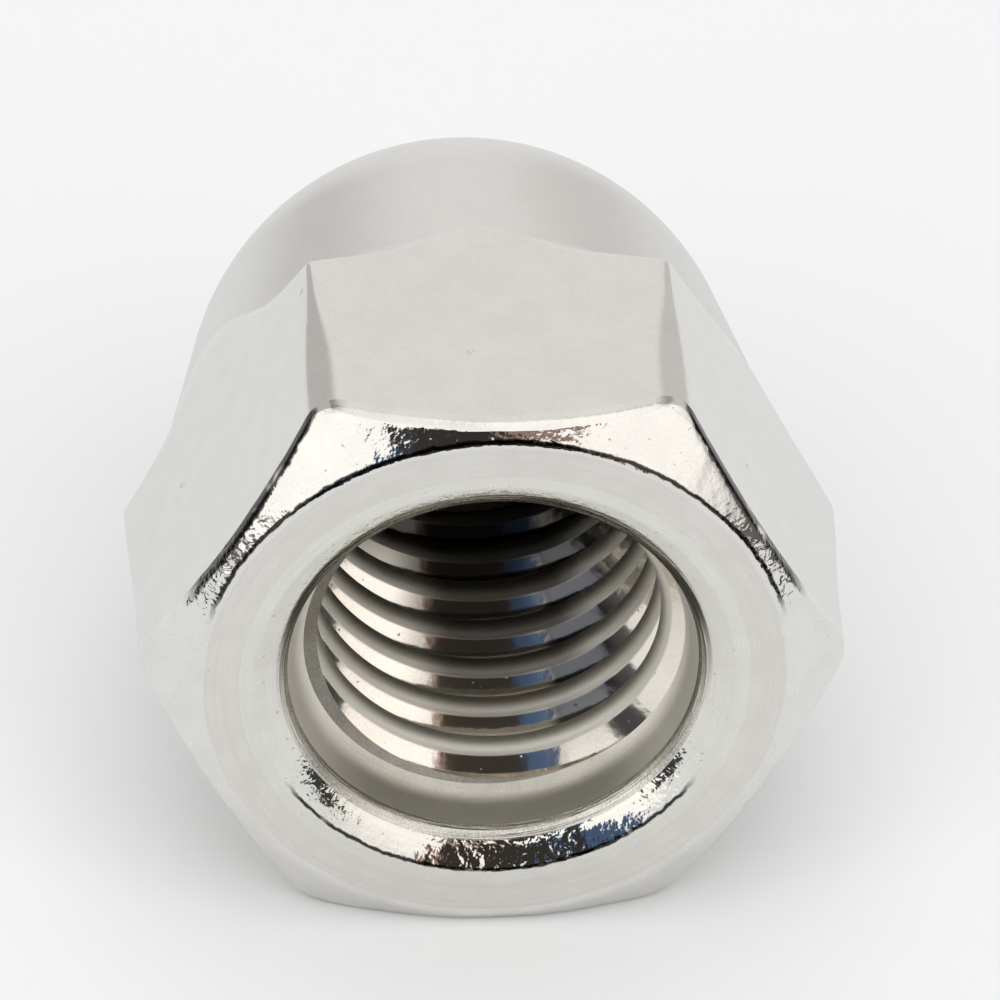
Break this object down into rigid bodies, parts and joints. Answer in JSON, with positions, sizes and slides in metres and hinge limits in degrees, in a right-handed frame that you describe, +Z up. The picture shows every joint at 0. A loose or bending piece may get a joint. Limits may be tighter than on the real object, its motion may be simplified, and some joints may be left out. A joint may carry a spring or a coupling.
{
  "type": "cap nut",
  "caption": "Domed hexagon cap nut, plated steel, with a blind right-hand threaded bore that covers a bolt's end.",
  "frame": {"origin": "on the surface the nut lies on, under the middle of its length, in line with the bore", "axes": "+Z up from the flat it lies on; the bore runs along Y and its mouth faces -Y; X across two hexagon edges"},
  "size_m": [0.022, 0.0222, 0.019],
  "materials": {
    "bright_plating": "polished"
  },
  "bodies": {
    "root": {"cap_nut": "bright_plating"}
  },
  "joints": []
}
